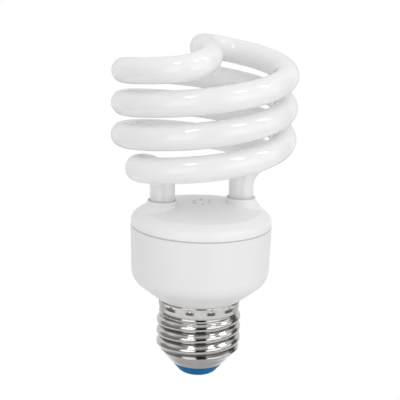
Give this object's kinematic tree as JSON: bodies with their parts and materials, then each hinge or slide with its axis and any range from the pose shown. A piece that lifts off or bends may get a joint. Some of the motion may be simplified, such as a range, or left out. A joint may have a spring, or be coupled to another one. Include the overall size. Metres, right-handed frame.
{
  "type": "compact fluorescent lamp",
  "caption": "Energy saving lamp: a white double helix glass tube on a domed plastic housing with a metal screw cap.",
  "frame": {"origin": "centre of the end contact's bottom face, on the lamp's axis, at the lowest point of the cap", "axes": "+Z along the lamp's axis from the cap to the top of the glass; X through the two straight legs of the tube, so the legs stand at plus and minus X; the picture looks along about +Y"},
  "size_m": [0.0562, 0.0562, 0.106],
  "materials": {
    "tube_glass": "clear glass with an opaque white powder coating on its inside, glossy",
    "housing_plastic": "injection moulded white plastic, satin gloss",
    "cap_metal": "nickel plated brass sheet, rolled, bright",
    "insulator_glass": "opaque blue moulded insulator, glossy",
    "contact_metal": "tinned solder dome on a brass disc, worn satin",
    "cement": "white silicone cement, matt",
    "capacitor_sleeve": "shrink sleeve on an aluminium can",
    "film_capacitor": "dipped epoxy coat, glossy",
    "black_epoxy": "moulded epoxy, matt",
    "ferrite": "sintered ferrite, dull dark grey",
    "bobbin_plastic": "moulded plastic",
    "copper_wire": "enamelled copper wire",
    "chip_body": "ceramic chip with a dark glaze",
    "diode_glass": "sealed glass diode body",
    "ceramic_disc": "coated ceramic disc",
    "tinned_wire": "tinned copper wire",
    "board_laminate": "paper phenolic board, bare",
    "wire_sleeve": "soft insulating sleeve"
  },
  "bodies": {
    "root": {"centre_contact": "contact_metal", "cap_insulator": "insulator_glass", "screw_shell": "cap_metal", "lower_housing": "housing_plastic", "upper_cover": "housing_plastic", "discharge_tube": "tube_glass", "tube_cement_right": "cement", "tube_cement_left": "cement", "bulk_capacitor": "capacitor_sleeve", "resonant_capacitor": "film_capacitor", "coupling_capacitor": "film_capacitor", "starting_capacitor": "film_capacitor", "transistor_1": "black_epoxy", "transistor_2": "black_epoxy", "rectifier_diodes": "black_epoxy", "ptc_thermistor": "ceramic_disc", "choke_core_upper": "ferrite", "choke_core_lower": "ferrite", "choke_bobbin": "bobbin_plastic", "choke_winding": "copper_wire", "toroid_core": "ferrite", "toroid_windings": "copper_wire", "filter_core": "ferrite", "filter_winding": "copper_wire", "chip_resistors": "chip_body", "trigger_diode": "diode_glass", "wire_posts": "tinned_wire", "filament_leads": "tinned_wire", "circuit_board": "board_laminate", "fuse_resistor": "wire_sleeve", "live_lead": "wire_sleeve", "neutral_lead": "wire_sleeve"}
  },
  "joints": []
}
